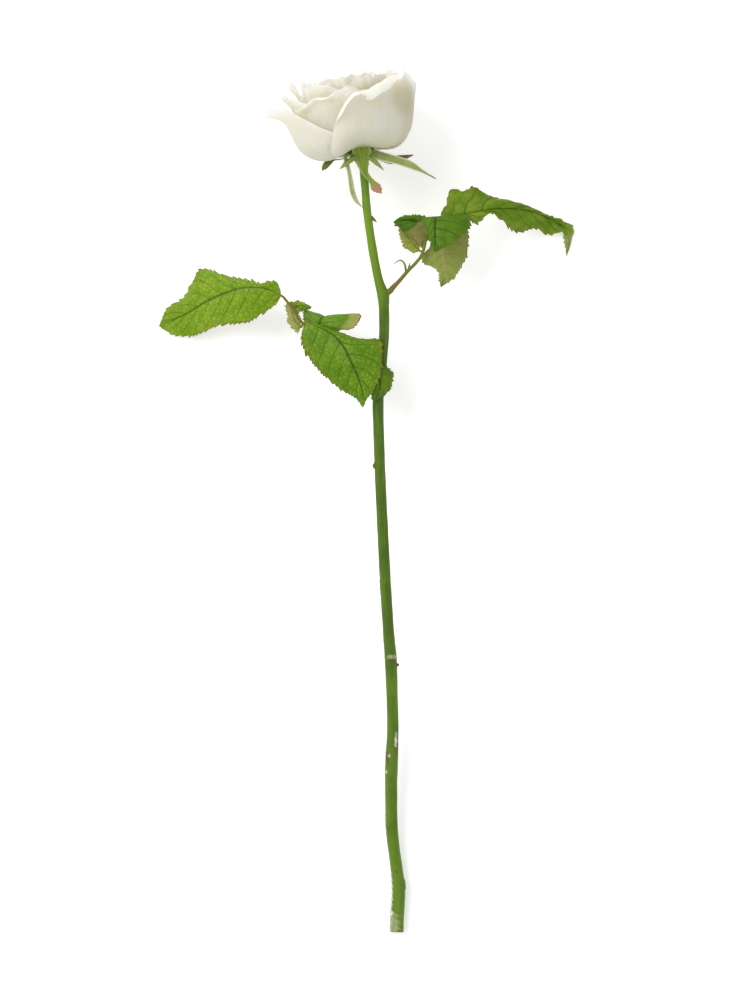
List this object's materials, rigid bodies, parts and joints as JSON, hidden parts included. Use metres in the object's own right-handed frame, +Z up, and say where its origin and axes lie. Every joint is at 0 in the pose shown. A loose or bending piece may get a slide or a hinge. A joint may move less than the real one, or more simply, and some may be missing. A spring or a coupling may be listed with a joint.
{
  "type": "cut rose",
  "caption": "Cut garden rose lying on its side: full white many-petalled bloom, reflexed sepals, long bare green stem and compound leaves near the flower",
  "frame": {"origin": "centre of the bounding box's bottom face, on the surface that the rose lies on, about mid length under the stem", "axes": "+Y runs along the stem from the cut end to the bloom, +Z is up from the surface, +X completes the right-handed frame across the rose"},
  "size_m": [0.2159, 0.4499, 0.0837],
  "materials": {
    "petal": "matte",
    "leaf": "satin",
    "stem": "satin",
    "sepal": "matte",
    "stamen": "matte"
  },
  "bodies": {
    "root": {"stem": "stem", "hip": "stem", "sepal_front": "sepal", "sepal_right": "sepal", "sepal_left": "sepal", "sepal_back_left": "sepal", "sepal_back_right": "sepal", "stamens": "stamen", "guard_petal_1": "petal", "guard_petal_2": "petal", "guard_petal_3": "petal", "guard_petal_4": "petal", "guard_petal_5": "petal", "whorl_1_petal_1": "petal", "whorl_1_petal_2": "petal", "whorl_1_petal_3": "petal", "whorl_1_petal_4": "petal", "whorl_1_petal_5": "petal", "whorl_1_petal_6": "petal", "whorl_2_petal_1": "petal", "whorl_2_petal_2": "petal", "whorl_2_petal_3": "petal", "whorl_2_petal_4": "petal", "whorl_2_petal_5": "petal", "whorl_2_petal_6": "petal", "whorl_3_petal_1": "petal", "whorl_3_petal_2": "petal", "whorl_3_petal_3": "petal", "whorl_3_petal_4": "petal", "whorl_3_petal_5": "petal", "whorl_3_petal_6": "petal", "whorl_4_petal_1": "petal", "whorl_4_petal_2": "petal", "whorl_4_petal_3": "petal", "whorl_4_petal_4": "petal", "whorl_4_petal_5": "petal", "whorl_4_petal_6": "petal", "whorl_5_petal_1": "petal", "whorl_5_petal_2": "petal", "whorl_5_petal_3": "petal", "whorl_5_petal_4": "petal", "whorl_5_petal_5": "petal", "whorl_6_petal_1": "petal", "whorl_6_petal_2": "petal", "whorl_6_petal_3": "petal", "whorl_6_petal_4": "petal", "left_leaf_stalk": "stem", "left_leaflet_terminal": "leaf", "left_leaflet_right_upper": "leaf", "left_leaflet_left_upper": "leaf", "left_leaflet_left_lower": "leaf", "left_leaflet_right_lower": "leaf", "right_leaf_stalk": "stem", "right_leaflet_terminal": "leaf", "right_leaflet_right_upper": "leaf", "right_leaflet_left_upper": "leaf", "right_leaflet_left_lower": "leaf", "right_leaflet_right_lower": "leaf"}
  },
  "joints": []
}
